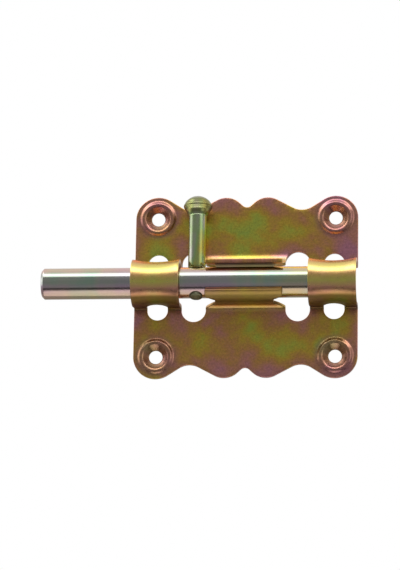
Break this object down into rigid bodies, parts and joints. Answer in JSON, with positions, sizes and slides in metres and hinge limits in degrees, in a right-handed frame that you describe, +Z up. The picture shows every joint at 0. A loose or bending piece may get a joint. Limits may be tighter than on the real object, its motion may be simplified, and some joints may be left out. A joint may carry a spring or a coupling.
{
  "type": "toggle bolt latch",
  "caption": "Surface bolt latch: pressed backplate with two straps over a sliding round rod, turned by a riveted knob.",
  "frame": {"origin": "on the door face, behind the rod's centre line, midway between the two straps", "axes": "+X along the rod towards its short end (the bolt is thrown towards -X), +Z up the door, +Y into the door"},
  "size_m": [0.101, 0.0142, 0.0602],
  "materials": {
    "plated_sheet": "yellow zinc plating with a rainbow tint, semi-gloss",
    "plated_rod": "pale zinc plating on a drawn bar, glossy",
    "plated_knob": "yellow zinc plating over turned steel, glossy",
    "plated_rivet": "dull plated rivet end"
  },
  "bodies": {
    "plate": {"backplate": "plated_sheet"},
    "rod": {"bolt_rod": "plated_rod"},
    "handle": {"knob": "plated_knob", "pin_tail": "plated_rivet"}
  },
  "joints": [
    {"name": "bolt_throw", "type": "slide", "parent": "plate", "child": "rod", "axis": [-1, 0, 0], "range_m": [0, 0.0023]},
    {"name": "knob_turn", "type": "hinge", "parent": "rod", "child": "handle", "pos_m": [-0.01535, -0.0065, 0], "axis": [1, 0, 0], "range_deg": [0, 182]}
  ]
}
